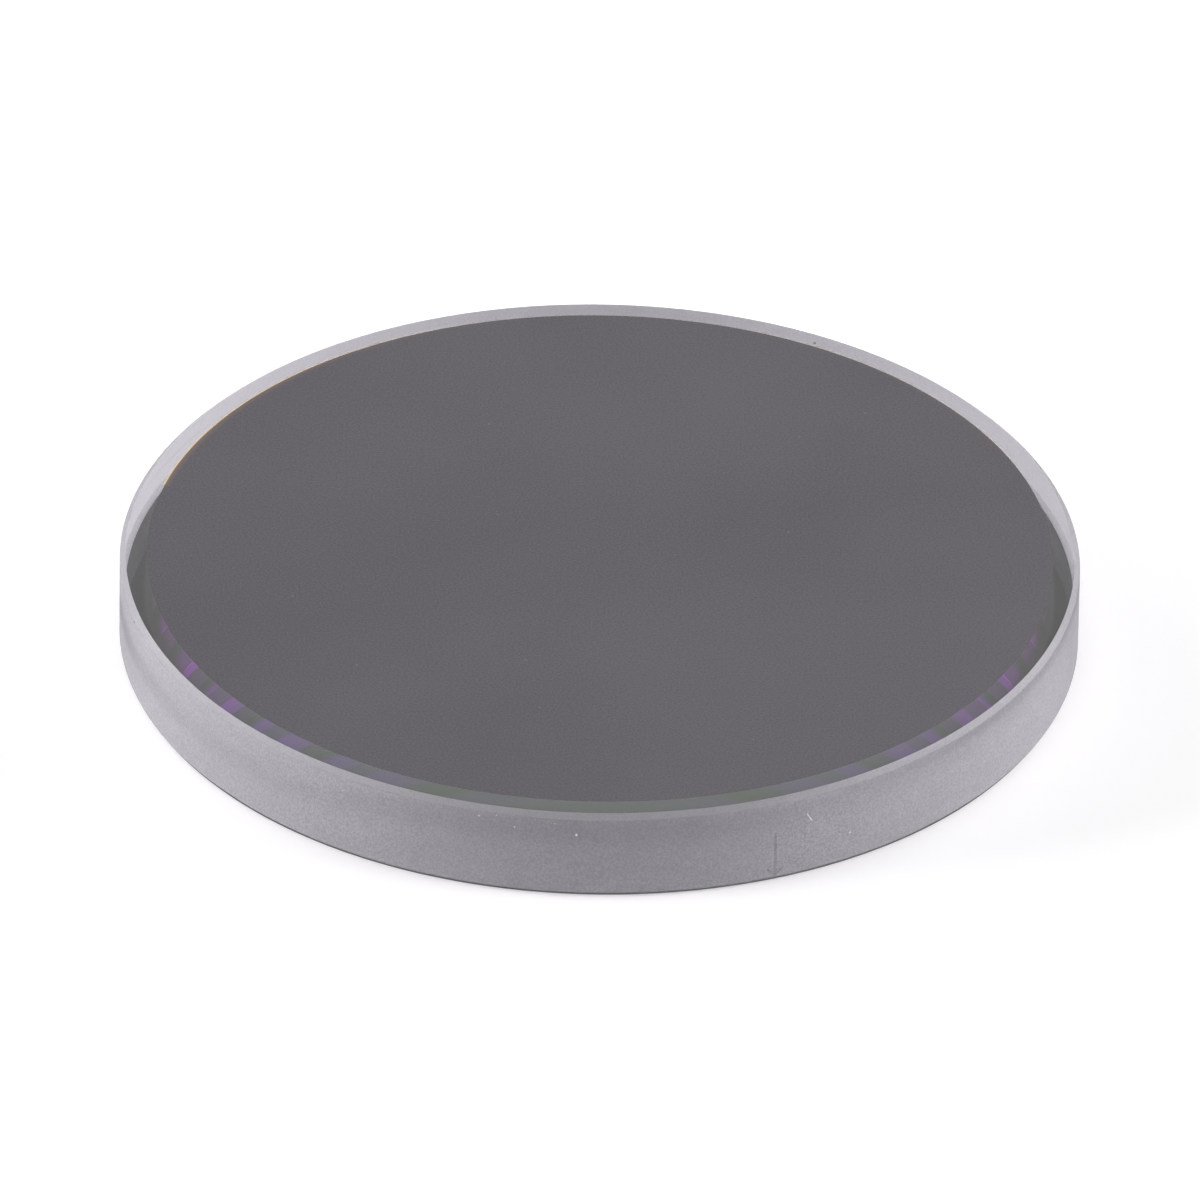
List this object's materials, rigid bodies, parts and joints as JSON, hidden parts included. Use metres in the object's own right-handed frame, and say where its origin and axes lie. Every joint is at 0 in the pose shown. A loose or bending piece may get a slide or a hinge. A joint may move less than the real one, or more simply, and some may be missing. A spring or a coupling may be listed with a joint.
{
  "type": "dichroic mirror",
  "caption": "Round glass plate mirror that reflects one band of wavelengths and passes another, with a coated front face, an antireflection-coated back and a ground rim.",
  "frame": {"origin": "centre of the antireflection film's free side, which the mirror lies on", "axes": "+Z along the optical axis, out of the dichroic-coated front face; X and Y are across the plate, and the rim's direction mark is on the -Y side"},
  "size_m": [0.0508, 0.0508, 0.005],
  "materials": {
    "fused_silica": "polished faces, fine-ground rim and bevels",
    "dichroic_film": "polished multilayer dielectric film, neutral dark grey reflection with a trace of violet",
    "antireflection_film": "polished film, faint violet reflection, passes pale green"
  },
  "bodies": {
    "root": {"substrate": "fused_silica", "dichroic_coating": "dichroic_film", "antireflection_coating": "antireflection_film"}
  },
  "joints": []
}
